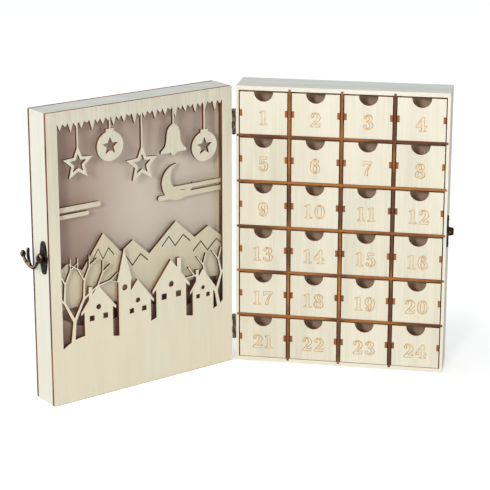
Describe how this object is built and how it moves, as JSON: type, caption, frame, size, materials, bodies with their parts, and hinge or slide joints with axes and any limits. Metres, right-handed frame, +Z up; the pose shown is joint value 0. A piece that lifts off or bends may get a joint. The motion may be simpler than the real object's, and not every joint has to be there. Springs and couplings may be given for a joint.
{
  "type": "wooden advent calendar",
  "caption": "Wooden advent calendar that opens like a book: a case of small numbered pull-out drawers, and a hinged picture cover with a pierced winter scene and a hook latch.",
  "frame": {"origin": "centre of the drawer case's underside, on the surface it stands on", "axes": "+X to the viewer's right along the case's front, +Y to the back of the case, +Z up"},
  "size_m": [0.4209, 0.2069, 0.3],
  "materials": {
    "case_wood": "unvarnished basswood ply",
    "partition_wood": "ply with burnt edges",
    "drawer_wood": "unvarnished basswood ply",
    "picture_wood": "ply with burnt edges",
    "backing_wood": "matt",
    "hinge_brass": "antique brass",
    "latch_bronze": "antique bronze"
  },
  "bodies": {
    "case": {"case_bottom": "case_wood", "case_top": "case_wood", "case_left_wall": "case_wood", "case_right_wall": "case_wood", "case_back_panel": "case_wood", "catch_plate": "latch_bronze", "shelf_1": "partition_wood", "shelf_2": "partition_wood", "shelf_3": "partition_wood", "shelf_4": "partition_wood", "shelf_5": "partition_wood", "divider_1": "partition_wood", "divider_2": "partition_wood", "divider_3": "partition_wood", "hinge_lower_case_leaf": "hinge_brass", "hinge_lower_pin": "hinge_brass", "hinge_upper_case_leaf": "hinge_brass", "hinge_upper_pin": "hinge_brass"},
    "cover": {"cover_front_panel": "picture_wood", "cover_top_rail": "case_wood", "cover_bottom_rail": "case_wood", "cover_hinge_rail": "case_wood", "cover_latch_rail": "case_wood", "front_spacers": "case_wood", "scene_layer": "picture_wood", "rear_spacers": "case_wood", "backing_sheet": "backing_wood", "cover_back_panel": "case_wood", "latch_plate": "latch_bronze", "latch_rivet": "latch_bronze", "hinge_lower_cover_leaf": "hinge_brass", "hinge_upper_cover_leaf": "hinge_brass"},
    "latch_hook": {"latch_hook": "latch_bronze"},
    "drawer_01": {"drawer_01": "drawer_wood"},
    "drawer_02": {"drawer_02": "drawer_wood"},
    "drawer_03": {"drawer_03": "drawer_wood"},
    "drawer_04": {"drawer_04": "drawer_wood"},
    "drawer_05": {"drawer_05": "drawer_wood"},
    "drawer_06": {"drawer_06": "drawer_wood"},
    "drawer_07": {"drawer_07": "drawer_wood"},
    "drawer_08": {"drawer_08": "drawer_wood"},
    "drawer_09": {"drawer_09": "drawer_wood"},
    "drawer_10": {"drawer_10": "drawer_wood"},
    "drawer_11": {"drawer_11": "drawer_wood"},
    "drawer_12": {"drawer_12": "drawer_wood"},
    "drawer_13": {"drawer_13": "drawer_wood"},
    "drawer_14": {"drawer_14": "drawer_wood"},
    "drawer_15": {"drawer_15": "drawer_wood"},
    "drawer_16": {"drawer_16": "drawer_wood"},
    "drawer_17": {"drawer_17": "drawer_wood"},
    "drawer_18": {"drawer_18": "drawer_wood"},
    "drawer_19": {"drawer_19": "drawer_wood"},
    "drawer_20": {"drawer_20": "drawer_wood"},
    "drawer_21": {"drawer_21": "drawer_wood"},
    "drawer_22": {"drawer_22": "drawer_wood"},
    "drawer_23": {"drawer_23": "drawer_wood"},
    "drawer_24": {"drawer_24": "drawer_wood"}
  },
  "joints": [
    {"name": "cover_hinge", "type": "hinge", "parent": "case", "child": "cover", "pos_m": [-0.1122, -0.0218, 0], "axis": [0, 0, -1], "range_deg": [-133, 47]},
    {"name": "latch_swing", "type": "hinge", "parent": "cover", "child": "latch_hook", "pos_m": [-0.27498, -0.18067, 0.154], "axis": [-0.682, -0.7314, 0], "range_deg": [-204, 75]},
    {"name": "drawer_01_slide", "type": "slide", "parent": "case", "child": "drawer_01", "axis": [0, -1, 0], "range_m": [0, 0.036]},
    {"name": "drawer_02_slide", "type": "slide", "parent": "case", "child": "drawer_02", "axis": [0, -1, 0], "range_m": [0, 0.036]},
    {"name": "drawer_03_slide", "type": "slide", "parent": "case", "child": "drawer_03", "axis": [0, -1, 0], "range_m": [0, 0.036]},
    {"name": "drawer_04_slide", "type": "slide", "parent": "case", "child": "drawer_04", "axis": [0, -1, 0], "range_m": [0, 0.036]},
    {"name": "drawer_05_slide", "type": "slide", "parent": "case", "child": "drawer_05", "axis": [0, -1, 0], "range_m": [0, 0.036]},
    {"name": "drawer_06_slide", "type": "slide", "parent": "case", "child": "drawer_06", "axis": [0, -1, 0], "range_m": [0, 0.036]},
    {"name": "drawer_07_slide", "type": "slide", "parent": "case", "child": "drawer_07", "axis": [0, -1, 0], "range_m": [0, 0.036]},
    {"name": "drawer_08_slide", "type": "slide", "parent": "case", "child": "drawer_08", "axis": [0, -1, 0], "range_m": [0, 0.036]},
    {"name": "drawer_09_slide", "type": "slide", "parent": "case", "child": "drawer_09", "axis": [0, -1, 0], "range_m": [0, 0.036]},
    {"name": "drawer_10_slide", "type": "slide", "parent": "case", "child": "drawer_10", "axis": [0, -1, 0], "range_m": [0, 0.036]},
    {"name": "drawer_11_slide", "type": "slide", "parent": "case", "child": "drawer_11", "axis": [0, -1, 0], "range_m": [0, 0.036]},
    {"name": "drawer_12_slide", "type": "slide", "parent": "case", "child": "drawer_12", "axis": [0, -1, 0], "range_m": [0, 0.036]},
    {"name": "drawer_13_slide", "type": "slide", "parent": "case", "child": "drawer_13", "axis": [0, -1, 0], "range_m": [0, 0.036]},
    {"name": "drawer_14_slide", "type": "slide", "parent": "case", "child": "drawer_14", "axis": [0, -1, 0], "range_m": [0, 0.036]},
    {"name": "drawer_15_slide", "type": "slide", "parent": "case", "child": "drawer_15", "axis": [0, -1, 0], "range_m": [0, 0.036]},
    {"name": "drawer_16_slide", "type": "slide", "parent": "case", "child": "drawer_16", "axis": [0, -1, 0], "range_m": [0, 0.036]},
    {"name": "drawer_17_slide", "type": "slide", "parent": "case", "child": "drawer_17", "axis": [0, -1, 0], "range_m": [0, 0.036]},
    {"name": "drawer_18_slide", "type": "slide", "parent": "case", "child": "drawer_18", "axis": [0, -1, 0], "range_m": [0, 0.036]},
    {"name": "drawer_19_slide", "type": "slide", "parent": "case", "child": "drawer_19", "axis": [0, -1, 0], "range_m": [0, 0.036]},
    {"name": "drawer_20_slide", "type": "slide", "parent": "case", "child": "drawer_20", "axis": [0, -1, 0], "range_m": [0, 0.036]},
    {"name": "drawer_21_slide", "type": "slide", "parent": "case", "child": "drawer_21", "axis": [0, -1, 0], "range_m": [0, 0.036]},
    {"name": "drawer_22_slide", "type": "slide", "parent": "case", "child": "drawer_22", "axis": [0, -1, 0], "range_m": [0, 0.036]},
    {"name": "drawer_23_slide", "type": "slide", "parent": "case", "child": "drawer_23", "axis": [0, -1, 0], "range_m": [0, 0.036]},
    {"name": "drawer_24_slide", "type": "slide", "parent": "case", "child": "drawer_24", "axis": [0, -1, 0], "range_m": [0, 0.036]}
  ]
}
